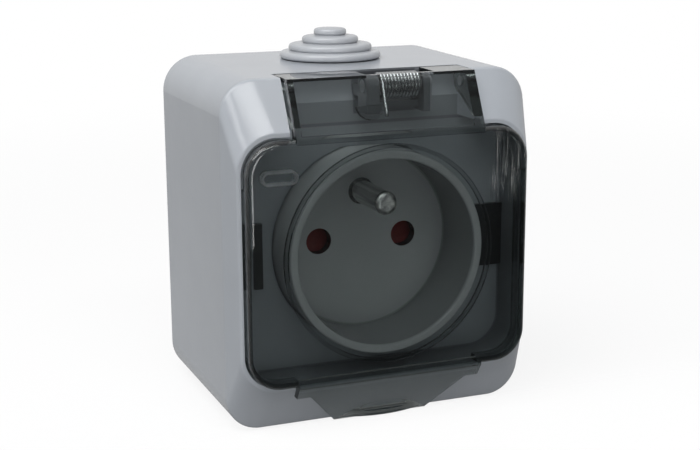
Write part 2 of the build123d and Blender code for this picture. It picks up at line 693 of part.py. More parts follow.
with BuildPart() as lid:
    lid_plan = (opening_width - 2 * lid_gap, opening_height - 2 * lid_gap)
    lid_radius = opening_radius - lid_gap
    with BuildSketch(front(body_depth - skirt_depth)):
        with Locations((0, -opening_drop)):
            RectangleRounded(*lid_plan, lid_radius)
    extrude(amount=skirt_depth + lid_proud)
    fillet(lid.edges().group_by(Axis.Y)[0], lid_edge)
    with BuildSketch(front(body_depth - skirt_depth)):
        with Locations((0, -opening_drop)):
            RectangleRounded(
                lid_plan[0] - 2 * skirt_wall,
                lid_plan[1] - 2 * skirt_wall,
                lid_radius - skirt_wall,
            )
    extrude(amount=skirt_depth + lid_proud - lid_wall, mode=Mode.SUBTRACT)
    # The skirt is left off along the top and behind the apron
    with BuildSketch(front(body_depth - skirt_depth)):
        with Locations((0, (skirt_top + opening_top) / 2)):
            Rectangle(opening_width, opening_top - skirt_top)
        with Locations((0, lid_bottom)):
            Rectangle(tongue_width - 2 * lid_gap, 4 * skirt_wall)
    extrude(amount=skirt_depth + lid_gap, mode=Mode.SUBTRACT)
    # Ring on the inside, around the collar
    with BuildSketch(front(-lid_inner_y)):
        Circle(rib_radius)
        Circle(rib_radius - rib_wall, mode=Mode.SUBTRACT)
    extrude(amount=-rib_height)
    # Oblong pad in the upper left corner
    with BuildSketch(front(-lid_inner_y)):
        with Locations((pad_x, pad_z)):
            SlotOverall(pad_length, pad_width)
    extrude(amount=-pad_height)
    # Tongue over the upper slope, back to the hinge
    inner_top = top_z - tongue_top_wall
    inner_y = lid_front_y + slope_run * (inner_top - lid_top) / slope_rise
    inner_y += lid_wall * slope_length / slope_rise
    foot_y = lid_front_y + lid_wall * slope_length / slope_rise
    with BuildSketch(Plane.YZ):
        with BuildLine():
            Polyline(
                (lid_front_y, lid_top - tongue_lap),
                (lid_front_y, lid_top),
                (tongue_front_y, top_z),
                (tongue_back_y, top_z),
                (tongue_back_y, inner_top),
                (inner_y, inner_top),
                (foot_y, lid_top),
                (lid_inner_y, lid_top - tongue_lap),
                close=True,
            )
        make_face()
    extrude(amount=tongue_width / 2, both=True)
    # Half-round stop inside the tongue, below the spring's left lug
    stop_x = spring_start - 2 * lug_gap - stop_radius
    slope_plane = Plane(
        (stop_x, (inner_y + foot_y) / 2, (inner_top + lid_top) / 2),
        x_dir=(1, 0, 0),
        z_dir=(0, slope_rise, -slope_run),
    )
    with BuildSketch(slope_plane):
        Circle(stop_radius)
        Rectangle(2 * stop_radius, stop_radius, align=(Align.CENTER, Align.MAX), mode=Mode.SUBTRACT)
    extrude(amount=stop_height)
    # Cheeks with the hinge eyes
    for side in (-1, 1):
        with BuildSketch(Plane.YZ.offset(side * tongue_width / 2)):
            with BuildLine():
                Polyline(
                    (lid_front_y, lid_top),
                    (tongue_front_y, top_z),
                    (tongue_back_y, top_z),
                    (axis_y + eye_radius, axis_z),
                    (axis_y, axis_z - eye_radius),
                    (lid_back_y, opening_top + cheek_foot),
                    (lid_back_y, lid_top),
                    close=True,
                )
            make_face()
            with Locations((axis_y, axis_z)):
                Circle(eye_radius)
        extrude(amount=-side * cheek)
    with BuildSketch(Plane.YZ):
        with Locations((axis_y, axis_z)):
            Circle(hinge_pin_radius + running_fit)
    extrude(amount=tongue_width / 2, both=True, mode=Mode.SUBTRACT)
    # Gap in the tongue's top above the spring and its lugs
    gap_start = left_lug_x - lug_gap
    gap_end = right_lug_x + right_lug + lug_gap
    with BuildSketch(Plane.XY.offset(inner_top)):
        with Locations(((gap_start + gap_end) / 2, tongue_back_y)):
            Rectangle(gap_end - gap_start, 2 * (tongue_back_y - axis_y + spring_radius + spring_wire))
    extrude(amount=tongue_top_wall, mode=Mode.SUBTRACT)
    # Apron over the lower slope
    apron_foot = -top_z
    with BuildSketch(Plane.YZ):
        with BuildLine():
            Polyline(
                (lid_front_y, lid_bottom + tongue_lap),
                (lid_front_y, lid_bottom),
                (lower_slope_y(apron_foot, apron_clear + apron_lift), apron_foot),
                (lower_slope_y(apron_foot, apron_clear), apron_foot),
                (lid_back_y, opening_bottom - lip),
                (lid_back_y, lid_bottom + skirt_wall),
                (lid_inner_y, lid_bottom + skirt_wall),
                (lid_inner_y, lid_bottom + tongue_lap),
                close=True,
            )
        make_face()
    extrude(amount=tongue_width / 2, both=True)
    band_low = lid_bottom - apron_band
    with BuildSketch(front(crease_depth)):
        for side in (-1, 1):
            with BuildLine():
                Polyline(
                    (side * (tongue_width / 2 - apron_step), band_low),
                    (side * (tongue_width / 2 + overcut), band_low),
                    (side * (tongue_width / 2 + overcut), apron_foot),
                    (side * apron_bottom_width / 2, apron_foot),
                    close=True,
                )
            make_face()
    extrude(amount=chamfer_depth + lid_proud + overcut, mode=Mode.SUBTRACT)
    # Finger tab: the apron's lower edge swells forward in an arc over its whole width
    tab_half = apron_bottom_width / 2
    tab_y = lower_slope_y(apron_foot, apron_clear + apron_lift)
    tab_tip = tab_y - tab_reach
    tab_low = apron_foot + tab_lift
    tab_top = tab_low + tab_height
    tab_root = apron_foot + tab_rise
    apron_lean = (tab_y - lid_front_y) / (lid_bottom - apron_foot)
    with BuildPart(mode=Mode.PRIVATE) as tab:
        with BuildSketch(Plane.YZ):
            with BuildLine():
                Bezier(
                    (lid_front_y + apron_lean * (lid_bottom - tab_root), tab_root),
                    (lid_front_y + apron_lean * (lid_bottom - tab_top), tab_top),
                    (tab_tip, tab_top),
                )
                Polyline(
                    (tab_tip, tab_top),
                    (tab_tip, tab_low),
                    (lower_slope_y(tab_low, apron_clear), tab_low),
                    (lid_front_y + apron_lean * (lid_bottom - tab_root), tab_root),
                )
            make_face()
        extrude(amount=tab_half, both=True)
        with BuildSketch(Plane.XY.offset(apron_foot)):
            with BuildLine():
                ThreePointArc((-tab_half, tab_y), (0, tab_tip), (tab_half, tab_y))
                Polyline(
                    (-tab_half, tab_y),
                    (-tab_half, tab_y + chamfer_depth),
                    (tab_half, tab_y + chamfer_depth),
                    (tab_half, tab_y),
                )
            make_face()
        extrude(amount=tab_rise, mode=Mode.INTERSECT)
    add(tab.part)
lid.part.label = "lid"

# Hinge pins, held by the housing and turning in the lid's eyes
pins = {}
for name, side in (("hinge_pin_left", -1), ("hinge_pin_right", 1)):
    with BuildPart() as pin:
        with BuildSketch(Plane.YZ.offset(side * (tongue_width / 2 - cheek))):
            with Locations((axis_y, axis_z)):
                Circle(hinge_pin_radius)
        extrude(amount=side * (cheek + hinge_gap + hinge_pin_grip))
    pin.part.label = name
    pins[name] = pin.part

with BuildPart() as spring_arbor:
    with BuildSketch(Plane.YZ.offset(left_lug_x)):
        with Locations((axis_y, axis_z)):
            Circle(arbor_radius)
    extrude(amount=arbor_length)
spring_arbor.part.label = "spring_arbor"

# Torsion spring that shuts the lid: its left leg lies behind the tongue, its right one in the trough
coil_start = radians(slope_normal)
coil_plane = Plane(
    (spring_start + spring_wire / 2, axis_y, axis_z),
    x_dir=(0, cos(coil_start), sin(coil_start)),
    z_dir=(1, 0, 0),
)
coil_length = spring_length - spring_wire
coil_turns = spring_turns + slope_normal / 360
lid_coil = coil_plane * Helix(coil_length / coil_turns, coil_length, spring_radius, lefthand=True)
with BuildPart() as lid_spring:
    with BuildSketch(Plane(origin=lid_coil @ 0, z_dir=lid_coil % 0)):
        Circle(spring_wire / 2)
    sweep(path=lid_coil, is_frenet=True)
    with BuildSketch(Plane(origin=lid_coil @ 0, z_dir=(lid_coil % 0) * -1)):
        Circle(spring_wire / 2)
    extrude(amount=lid_leg)
    with BuildSketch(Plane(origin=lid_coil @ 1, z_dir=lid_coil % 1)):
        Circle(spring_wire / 2)
    extrude(amount=fixed_leg)
lid_spring.part.label = "lid_spring"

os.makedirs("parts", exist_ok=True)
single = [
    housing, back_plate, housing_seal, cable_grommet, socket_insert, contact_carrier,
    insert_screws, carrier_screws, earth_strap, earth_pin, terminal_screws,
    shutter, shutter_spring, lid, spring_arbor, lid_spring,
]
pieces = [builder.part for builder in single]
pieces += [*contacts.values(), *clips.values(), *pins.values()]
for piece in pieces:
    export_step(piece, f"parts/{piece.label}.step")
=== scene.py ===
# %% [markdown]
# # An outdoor socket with a see-through lid
# The part is a light grey wall box. A stepped rubber grommet sits on its top, a round well holds the
# earth pin and the two live holes, and a smoke-grey lid with a sprung hinge covers the well.
# The solids come from the CAD model, so this lesson is about finishes, light and the few pieces that
# look better as smooth surfaces worked out with numpy. Lengths are in metres, as Blender has them, and
# small ones are written in millimetres and multiplied by MM.

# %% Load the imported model
import json
from functools import partial
import bpy
import bmesh
import numpy as np
from mathutils import Matrix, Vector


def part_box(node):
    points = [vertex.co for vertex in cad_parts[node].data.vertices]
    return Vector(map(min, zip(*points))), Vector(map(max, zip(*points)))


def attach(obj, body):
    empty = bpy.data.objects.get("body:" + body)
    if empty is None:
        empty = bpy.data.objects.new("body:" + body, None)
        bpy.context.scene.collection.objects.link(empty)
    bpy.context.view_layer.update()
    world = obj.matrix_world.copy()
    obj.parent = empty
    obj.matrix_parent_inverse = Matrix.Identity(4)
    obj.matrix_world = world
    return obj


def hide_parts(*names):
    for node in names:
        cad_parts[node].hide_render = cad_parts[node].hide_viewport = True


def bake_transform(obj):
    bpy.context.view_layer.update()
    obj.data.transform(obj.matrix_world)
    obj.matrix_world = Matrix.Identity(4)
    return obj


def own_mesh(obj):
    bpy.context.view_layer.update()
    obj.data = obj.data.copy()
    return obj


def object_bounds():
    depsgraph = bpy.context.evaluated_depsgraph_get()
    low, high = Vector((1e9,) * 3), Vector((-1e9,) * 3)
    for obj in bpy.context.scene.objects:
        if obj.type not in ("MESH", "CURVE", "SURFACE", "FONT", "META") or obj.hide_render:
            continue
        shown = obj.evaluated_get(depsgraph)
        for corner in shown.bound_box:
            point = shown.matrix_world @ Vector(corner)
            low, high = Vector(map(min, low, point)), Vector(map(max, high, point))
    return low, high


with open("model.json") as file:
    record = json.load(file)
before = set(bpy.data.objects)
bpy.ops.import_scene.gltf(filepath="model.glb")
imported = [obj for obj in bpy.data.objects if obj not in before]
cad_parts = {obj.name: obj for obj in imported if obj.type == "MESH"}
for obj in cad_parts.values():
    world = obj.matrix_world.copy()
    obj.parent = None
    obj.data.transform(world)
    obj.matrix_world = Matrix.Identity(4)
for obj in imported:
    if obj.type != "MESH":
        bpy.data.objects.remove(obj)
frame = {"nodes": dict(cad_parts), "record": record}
cad_box = [list(corner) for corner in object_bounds()]
nodes = frame["nodes"]
MM = 0.001
print("CAD box in mm:", np.round(np.array(cad_box) / MM, 1).tolist())

# %% [markdown]
# ## Camera
# The photograph looks down on the box from the front left. A camera could be placed by eye, but marked
# points on the box (its corners, the rim of the well, the live holes) fix the angles, the distance and
# the focal length together, so the values below are that fit. The roll is a slight tilt of the picture.

# %% Camera at the photograph's angle
def placed(x_axis, y_axis, z_axis, place):
    """The matrix of an object that stands at place and has those three axes."""
    matrix = np.eye(4)
    matrix[:3] = np.stack([x_axis, y_axis, z_axis, place], axis=1)
    return Matrix(matrix.tolist())


yaw, pitch, roll = np.radians([21.428, 13.311, 0.276])
eye = np.array([-104.115, -291.735, 68.659]) * MM
ahead = np.array([np.sin(yaw) * np.cos(pitch), np.cos(yaw) * np.cos(pitch), -np.sin(pitch)])
level = np.array([np.cos(yaw), -np.sin(yaw), 0.0])
below = np.cross(ahead, level)
right = np.cos(roll) * level + np.sin(roll) * below
down = np.cos(roll) * below - np.sin(roll) * level
camera_data = bpy.data.cameras.new("photo_camera")
camera_data.lens, camera_data.sensor_width = 70.28, 36.0
camera_data.clip_start, camera_data.clip_end = 0.01, 20.0
camera = bpy.data.objects.new("photo_camera", camera_data)
bpy.context.scene.collection.objects.link(camera)
camera.matrix_world = placed(right, -down, -ahead, eye)
bpy.context.scene.camera = camera
print("camera in mm:", np.round(eye / MM, 1), "lens", camera_data.lens)

# %% [markdown]
# ## Studio
# A product like this is shot on a sweep, a sheet of white paper that lies on the floor and curves up
# into a wall, so that no corner shows behind the box. It could be a plane with a bevelled fold. Here its
# profile, a floor, a quarter circle and a wall, is worked out as arrays and carried along X.

# %% The sweep's shape
def sweep_strip(floor, front, back, bend, height, half_width, steps=24):
    """Floor from front to back, a quarter circle of radius bend, then a wall: a profile carried along X."""
    turn = np.linspace(0, np.pi / 2, steps)
    along = np.concatenate([[front], back + bend * np.sin(turn), [back + bend]])
    up = np.concatenate([[0.0], bend * (1 - np.cos(turn)), [height]])
    x, y = np.meshgrid([-half_width, half_width], along)
    z = np.repeat(up[:, None], 2, axis=1)
    return np.stack([x, y, floor + z], axis=-1)


sweep_front, sweep_full = -0.08, -0.02  # along Y the paper begins at the first and is whole from the second
strip = sweep_strip(cad_box[0][2], sweep_front, back=1.2, bend=0.4, height=2.4, half_width=2.5)
print("sweep: rows, columns and axes", strip.shape)

# %% [markdown]
# A grid of points becomes a surface when each point is joined to its neighbours by quads. Blender's own
# primitives could be bent into shape instead, but with arrays the formula stays in view. Where a
# surface closes on itself some points fall together, so they are merged before the faces are turned
# outwards.

# %% From a grid of points to an object
def grid_quads(rows, columns, wrap_rows=False, wrap_columns=False):
    """Joins each point of a grid to its neighbour along the row, the next row and both."""
    i, j = np.meshgrid(
        np.arange(rows if wrap_rows else rows - 1),
        np.arange(columns if wrap_columns else columns - 1),
        indexing="ij",
    )
    i2, j2 = (i + 1) % rows, (j + 1) % columns
    corners = [i * columns + j, i * columns + j2, i2 * columns + j2, i2 * columns + j]
    return np.stack(corners, axis=-1).reshape(-1, 4)


def surface_object(name, points, quads, finish, same_point=1e-7):
    """A mesh object at the origin from arrays of points and quads, smooth, with doubled points merged."""
    mesh = bpy.data.meshes.new(name)
    mesh.from_pydata(points.reshape(-1, 3).tolist(), [], quads.tolist())
    work = bmesh.new()
    work.from_mesh(mesh)
    bmesh.ops.remove_doubles(work, verts=work.verts, dist=same_point)
    bmesh.ops.recalc_face_normals(work, faces=work.faces)
    work.to_mesh(mesh)
    work.free()
    mesh.polygons.foreach_set("use_smooth", np.ones(len(mesh.polygons), bool))
    mesh.materials.append(finish)
    piece = bpy.data.objects.new(name, mesh)
    bpy.context.scene.collection.objects.link(piece)
    print(f"{name}: {len(mesh.polygons)} faces")
    return piece


sweep_quads = grid_quads(len(strip), 2)
print("sweep quads:", len(sweep_quads))

# %% [markdown]
# A finish is a tree of shader nodes. It could be clicked together in the editor, but in a script a few
# helpers are enough: one sets or links an input, and one adds a node with all its inputs. The sweep's
# finish starts with a glow of strength 1, which shows as plain white, and with a see-through shader for
# the place where the paper ends.

# %% First nodes of the sweep's finish
def new_material(name):
    """A material with an empty node tree."""
    finish = bpy.data.materials.new(name)
    finish.use_nodes = True
    finish.node_tree.nodes.clear()
    return finish


def join(tree, source, socket):
    """Links a source socket to an input, or sets the input where source is a plain value."""
    if isinstance(source, bpy.types.NodeSocket):
        tree.links.new(source, socket)
    else:
        socket.default_value = source


def feed(tree, node, inputs):
    """Joins a node's inputs to their sources, which are given by name, with _ for a space."""
    for name, source in inputs.items():
        join(tree, source, node.inputs[name.replace("_", " ")])
    return node


def add_node(tree, kind, **inputs):
    """Adds a node of that kind with its inputs joined."""
    return feed(tree, tree.nodes.new(kind), inputs)


def grey(level):
    """An opaque grey as a colour."""
    return (level, level, level, 1)


sweep_white = new_material("sweep white")
paper = sweep_white.node_tree
glow = add_node(paper, "ShaderNodeEmission", Color=grey(1), Strength=1.0)
nothing = add_node(paper, "ShaderNodeBsdfTransparent")
print("sweep nodes:", [node.bl_label for node in paper.nodes])

# %% [markdown]
# The glow alone would swallow the box's shadow, so close to the box only a share of the paper glows and
# the rest is lit. A mirror shows a smaller share, so that the glossy sides keep their tone. In front the
# floor fades out: a clear lid mirrors whatever lies before it, and dark there keeps it clear. A painted
# mask could say where each share holds. Math nodes do it here from Object coordinates, which on every
# piece are the part's own frame in metres.

# %% Shares of the paper
def math_node(tree, operation, *operands, kind="ShaderNodeMath", output="Value"):
    """A math node; each operand is a socket or a plain value."""
    made = tree.nodes.new(kind)
    made.operation = operation
    for operand, socket in zip(operands, made.inputs):
        join(tree, operand, socket)
    return made.outputs[output]


def vector_node(tree, operation, *operands):
    """A vector math node; a length comes out as a number."""
    output = "Value" if operation == "LENGTH" else "Vector"
    return math_node(tree, operation, *operands, kind="ShaderNodeVectorMath", output=output)


def ranged(tree, source, start, end, low=0.0, high=1.0, curve="SMOOTHSTEP"):
    """Takes a value from low at start to high at end, by a smooth step or along the named curve."""
    made = add_node(tree, "ShaderNodeMapRange", Value=source, From_Min=start, From_Max=end)
    feed(tree, made, {"To_Min": low, "To_Max": high})
    made.interpolation_type = curve
    return made.outputs["Result"]


def object_place(tree):
    """Object coordinates of the point that is shaded."""
    return tree.nodes.new("ShaderNodeTexCoord").outputs["Object"]


def axes_of(tree, vector):
    """The X, Y and Z of a vector."""
    return add_node(tree, "ShaderNodeSeparateXYZ", Vector=vector).outputs


paper_place = object_place(paper)
from_box = vector_node(paper, "LENGTH", paper_place)
plain_share = ranged(paper, from_box, start=0.12, end=0.45, low=0.85, high=1.0)
mirrored_share = ranged(paper, from_box, start=0.2, end=0.9, low=0.25, high=0.72)
floor_share = ranged(paper, axes_of(paper, paper_place)["Y"], start=sweep_front, end=sweep_full)
print("sweep nodes:", len(paper.nodes))

# %% [markdown]
# The eye should see white paper, but the box should be lit by the lamps and not by the paper. Brighter
# lamps on the paper would light the box as well. The Light Path node keeps the two apart: what the camera
# sees, plainly, mirrored or through the lid, takes the glow, and light that lands finds grey paper.

# %% What the eye sees of the paper
def mix_node(tree, share, first, second, kind="FLOAT", blend="MIX"):
    """Numbers or colours, first where share is 0 and second, or their blend, where it is 1."""
    made = tree.nodes.new("ShaderNodeMix")
    made.data_type, made.blend_type = kind, blend
    sockets = [socket for socket in made.inputs if socket.enabled]
    for source, socket in zip((share, first, second), sockets):
        join(tree, source, socket)
    return next(output for output in made.outputs if output.enabled)


def mixed(tree, share, first, second):
    """A shader that is first where share is 0 and second where it is 1."""
    made = tree.nodes.new("ShaderNodeMixShader")
    for source, socket in zip((share, first, second), made.inputs):
        join(tree, source, socket)
    return made.outputs[0]


def seen_by_eye(tree):
    """1 for what the camera sees, plainly, mirrored or through the lid, and 0 for light that lands."""
    paths = tree.nodes.new("ShaderNodeLightPath").outputs
    seen = math_node(tree, "MAXIMUM", paths["Is Camera Ray"], paths["Is Glossy Ray"])
    seen = math_node(tree, "MAXIMUM", seen, paths["Is Transmission Ray"])
    no_matt_bounce = math_node(tree, "LESS_THAN", paths["Diffuse Depth"], 0.5)
    return math_node(tree, "MULTIPLY", seen, no_matt_bounce)


paper_paths = paper.nodes.new("ShaderNodeLightPath").outputs
paper_tone = mix_node(paper, paper_paths["Is Camera Ray"], grey(0.42), grey(0.95), "RGBA")
lit = add_node(paper, "ShaderNodeBsdfDiffuse", Color=paper_tone)
glow_share = mix_node(paper, paper_paths["Is Glossy Ray"], plain_share, mirrored_share)
glow_share = math_node(paper, "MULTIPLY", glow_share, seen_by_eye(paper))
glowing = mixed(paper, glow_share, lit.outputs[0], glow.outputs[0])
add_node(paper, "ShaderNodeOutputMaterial", Surface=mixed(paper, floor_share, nothing.outputs[0], glowing))
sweep = surface_object("sweep", strip, sweep_quads, sweep_white)

# %% [markdown]
# ## Light
# The world is the rest of the room. To the camera it is white like the sweep. Mirrors and clear plastic
# find it white beside, behind and above the box and dim in front, again to keep the lid clear. As light
# it is a dim grey, brighter overhead, that fills the shadows without washing them out. A photographed
# room could do this too, but two plain shades need no image.

# %% Room light
world = bpy.data.worlds.new("studio room")
bpy.context.scene.world = world
world.use_nodes = True
room = world.node_tree
room.nodes.clear()
room_way = axes_of(room, room.nodes.new("ShaderNodeTexCoord").outputs["Generated"])
overhead = ranged(room, room_way["Z"], start=-0.1, end=0.9, curve="LINEAR")
room_tone = mix_node(room, overhead, (0.05, 0.051, 0.053, 1), (0.36, 0.365, 0.375, 1), "RGBA")
dim = add_node(room, "ShaderNodeBackground", Color=room_tone, Strength=1.0)
white = add_node(room, "ShaderNodeBackground", Color=grey(1), Strength=1.0)
not_in_front = ranged(room, room_way["Y"], start=-0.6, end=-0.2)
not_below = ranged(room, room_way["Z"], start=-0.4, end=-0.1)
around = math_node(room, "MULTIPLY", not_in_front, not_below)
room_paths = room.nodes.new("ShaderNodeLightPath").outputs
around = math_node(room, "MAXIMUM", around, room_paths["Is Camera Ray"])
white_share = math_node(room, "MULTIPLY", around, seen_by_eye(room))
room_shader = mixed(room, white_share, dim.outputs[0], white.outputs[0])
add_node(room, "ShaderNodeOutputWorld", Surface=room_shader)
print("room nodes:", len(room.nodes))

# %% [markdown]
# Three soft lamps do the rest. A large one at the upper left gives the top and the left side their tone.
# A smaller one straight in front reaches through the lid into the well. A long strip, high in front,
# lights the upper slope of the frame, one of the brightest parts of the box. Point lamps would throw
# hard shadows, so all three are area lamps.

# %% Lamps
def soft_light(name, place, width, height, power, target=(0.0, -0.025, 0.0)):
    """An area lamp of that width and height at place, turned to face target, the middle of the box."""
    lamp = bpy.data.lights.new(name, "AREA")
    lamp.shape, lamp.size, lamp.size_y, lamp.energy = "RECTANGLE", width, height, power
    holder = bpy.data.objects.new(name, lamp)
    bpy.context.scene.collection.objects.link(holder)
    z_axis = np.array(place) - np.array(target)
    z_axis /= np.linalg.norm(z_axis)
    x_axis = np.cross([0, 0, 1], z_axis)
    x_axis /= np.linalg.norm(x_axis)
    holder.matrix_world = placed(x_axis, np.cross(z_axis, x_axis), z_axis, place)
    print(f"{name}: {power} W at {place}")


soft_light("key_upper_left", (-0.66, -0.42, 0.97), width=0.9, height=0.9, power=12.6)
soft_light("front_fill", (0.0, -1.36, -0.1), width=0.45, height=0.45, power=3.7)
soft_light("slope_strip", (-0.07, -0.85, 0.88), width=0.75, height=0.24, power=4.0)
bpy.context.scene.view_settings.view_transform = "Standard"

# %% [markdown]
# ## Moulded plastic and rubber
# Moulded plastic is never one flat colour: the pigment drifts a little, the gloss is uneven where the
# tool was polished by hand, and the skin has a fine orange peel. Image textures could show that, but
# procedural noise in object coordinates has no seams and the right scale on every piece. The three
# effects are one node group, which all moulded finishes use, the clear lid with scales of its own.

# %% A group for moulded skins
def group_tree(name, inputs, outputs):
    """A node group with its input and output sockets; an input is a number or a triple, by its first
    value, and an output is a number."""
    made = bpy.data.node_groups.new(name, "ShaderNodeTree")
    for title, value in inputs.items():
        kind = "NodeSocketVector" if isinstance(value, tuple) else "NodeSocketFloat"
        made.interface.new_socket(title, in_out="INPUT", socket_type=kind).default_value = value
    for title in outputs:
        made.interface.new_socket(title, in_out="OUTPUT", socket_type="NodeSocketFloat")
    return made, made.nodes.new("NodeGroupInput").outputs, made.nodes.new("NodeGroupOutput").inputs


moulded_skin, skin_in, skin_out = group_tree(
    "moulded skin",
    {"Drift per metre": 60.0, "Peel per metre": 900.0, "Grit per metre": 9000.0},
    ("Drift", "Peel", "Grit"),
)
skin_place = object_place(moulded_skin)
for title, detail in {"Drift": 3.0, "Peel": 1.0, "Grit": 2.0}.items():
    noise = add_node(moulded_skin, "ShaderNodeTexNoise", Vector=skin_place, Detail=detail, Roughness=0.55)
    feed(moulded_skin, noise, {"Scale": skin_in[f"{title} per metre"]})
    join(moulded_skin, noise.outputs["Fac"], skin_out[title])
print("group:", moulded_skin.name, list(skin_out.keys()))

# %% [markdown]
# The recess, the notch for the hinge, the well's wall and the live holes lie in more shade than this plain
# light gives them. Lamps could be screened off for that, but the model is used under other light too, so
# the shade is painted: the plastic's colour itself is a shade darker there. A second group finds such
# places: it takes a box whose four edges along Y are rounded, so that it can also be a cylinder, and steps
# softly from 0 outside it to 1 inside.

# %% A group for places inside a rounded box
def slant(tree, first, second):
    """The root of the sum of two squares."""
    squares = [math_node(tree, "POWER", side, 2.0) for side in (first, second)]
    return math_node(tree, "SQRT", math_node(tree, "ADD", *squares))


inside_box, box_in, box_out = group_tree(
    "inside a box",
    {"Centre": (0.0, 0.0, 0.0), "Half": (0.0, 0.0, 0.0), "Corner": 1.0 * MM, "Edge": 0.3 * MM},
    ("Inside",),
)
box_math = partial(math_node, inside_box)
from_centre = vector_node(inside_box, "SUBTRACT", object_place(inside_box), box_in["Centre"])
from_centre = vector_node(inside_box, "ABSOLUTE", from_centre)
past_faces = axes_of(inside_box, vector_node(inside_box, "SUBTRACT", from_centre, box_in["Half"]))
past_arcs = [
    box_math("MAXIMUM", box_math("ADD", past_faces[axis], box_in["Corner"]), 0.0) for axis in "XZ"
]
depth_across = box_math("SUBTRACT", box_in["Corner"], slant(inside_box, *past_arcs))
depth_along = box_math("MULTIPLY", past_faces["Y"], -1.0)
depth_inside = box_math("MINIMUM", depth_across, depth_along)
join(inside_box, ranged(inside_box, depth_inside, 0.0, box_in["Edge"]), box_out["Inside"])
print("group:", inside_box.name, list(box_out.keys()))

# %% [markdown]
# The boxes of painted shade follow the solids. A hollow needs two: one that reaches just past its walls
# and paints shade on them, and one just inside them that brings the painted shade of its floor back. The
# boxes' shades are multiplied with the plastic's own colour one after the other.

# %% Places with painted shade
def place_box(x, y, z, corner, change):
    """A box from its ranges in millimetres, as inputs of the group, and what changes inside it."""
    ranges = np.array([x, y, z]) * MM
    return {"Centre": ranges.mean(axis=1), "Half": np.ptp(ranges, axis=1) / 2, "Corner": corner * MM}, change


def use_group(tree, group, **inputs):
    """Places a node group with its inputs joined and gives its outputs."""
    made = tree.nodes.new("ShaderNodeGroup")
    made.node_tree = group
    return feed(tree, made, inputs).outputs


def painted_shade(tree, colour, boxes):
    """Paints shade into a colour: multiplies it by each box's shade inside that box."""
    for inputs, shade in boxes:
        inside = use_group(tree, inside_box, **inputs)["Inside"]
        colour = mix_node(tree, inside, colour, grey(shade), "RGBA", "MULTIPLY")
    return colour


def hollow(x, y, z, corner, walls, floor, past=0.3, within=0.3):
    """The two boxes of painted shade for a hollow that opens to the front: past its walls by past
    millimetres for the painted shade on the walls, and within them by within for the painted shade on the
    floor."""
    out = np.array([-1, 1])
    return (
        place_box(x + past * out, y, z + past * out, corner + past, walls),
        place_box(x - within * out, y, z - within * out, corner - within, floor / walls),
    )


# Painted shade: inside these boxes the plastic's colour is made darker, for the shade in these hollows.
recess_y, notch_y, well_y, hole_y = (-46.4, -34.0), (-46.9, -33.5), (-46.4, -31.4), (-32.2, -28.0)
recess = hollow((-30.35, 30.35), recess_y, (-25.5, 24.9), corner=7.0, walls=0.42, floor=0.7, past=0.35)
notch = place_box((-20.2, 20.2), notch_y, (24.9, 35.2), corner=0.5, change=0.65)
hinge_corner = place_box((-3.4, 11.0), notch_y, (26.5, 35.5), corner=0.5, change=0.5)
well_radius = 19.15
well_side = (-well_radius, well_radius)
well = hollow(well_side, well_y, well_side, corner=well_radius, walls=0.68, floor=1.0)
live_holes = place_box((-13.0, 13.0), hole_y, (-4.0, 4.0), corner=1.0, change=0.12)
print("darker boxes:", len((*recess, notch, hinge_corner, *well, live_holes)))

# %% [markdown]
# A finish then needs only its two colours, its gloss and how strong the peel is. The drift runs through
# a colour ramp between the two colours, the grit moves the roughness, and the peel is a very low bump.

# %% A moulded finish
NOISE_LOW, NOISE_HIGH = 0.3, 0.7  # most values of a noise lie between these


def ramp_between(tree, noise, low, high):
    """Colour ramp of a noise between two colours."""
    ramp = add_node(tree, "ShaderNodeValToRGB", Fac=noise)
    ends = ramp.color_ramp.elements
    ends[0].position, ends[1].position = NOISE_LOW, NOISE_HIGH
    ends[0].color, ends[1].color = (*low, 1), (*high, 1)
    return ramp.outputs["Color"]


def range_between(tree, noise, low, high):
    """Straight range of a noise between two numbers."""
    return ranged(tree, noise, NOISE_LOW, NOISE_HIGH, low, high, curve="LINEAR")


def moulded(name, low, high, gloss, peel, boxes=()):
    """A moulded finish: low and high are the pigment's two shades, gloss the range of the roughness, peel
    the strength of the orange peel, and boxes the places where shade is painted into the colour."""
    finish = new_material(name)
    tree = finish.node_tree
    skin = use_group(tree, moulded_skin)
    bump = add_node(tree, "ShaderNodeBump", Strength=peel, Distance=0.2 * MM, Height=skin["Peel"])
    shader = add_node(
        tree,
        "ShaderNodeBsdfPrincipled",
        Base_Color=painted_shade(tree, ramp_between(tree, skin["Drift"], low, high), boxes),
        Roughness=range_between(tree, skin["Grit"], *gloss),
        Normal=bump.outputs["Normal"],
        IOR=1.5,
    )
    add_node(tree, "ShaderNodeOutputMaterial", Surface=shader.outputs[0])
    return finish


# The housing's colour has painted shade in its recess, its notch and the corner by the hinge.
housing_grey = moulded(
    "housing grey",
    (0.375, 0.398, 0.43),
    (0.395, 0.418, 0.45),
    gloss=(0.14, 0.22),
    peel=0.05,
    boxes=(*recess, notch, hinge_corner),
)
print("finish:", housing_grey.name, len(housing_grey.node_tree.nodes), "nodes")

# %% [markdown]
# The other mouldings use the same function. The insert is almost as glossy as the housing, the plate and
# the carrier behind it are duller because nobody sees them, and the seal's rubber is the dullest. The key
# of each finish is the material slot that the record gives to a solid.

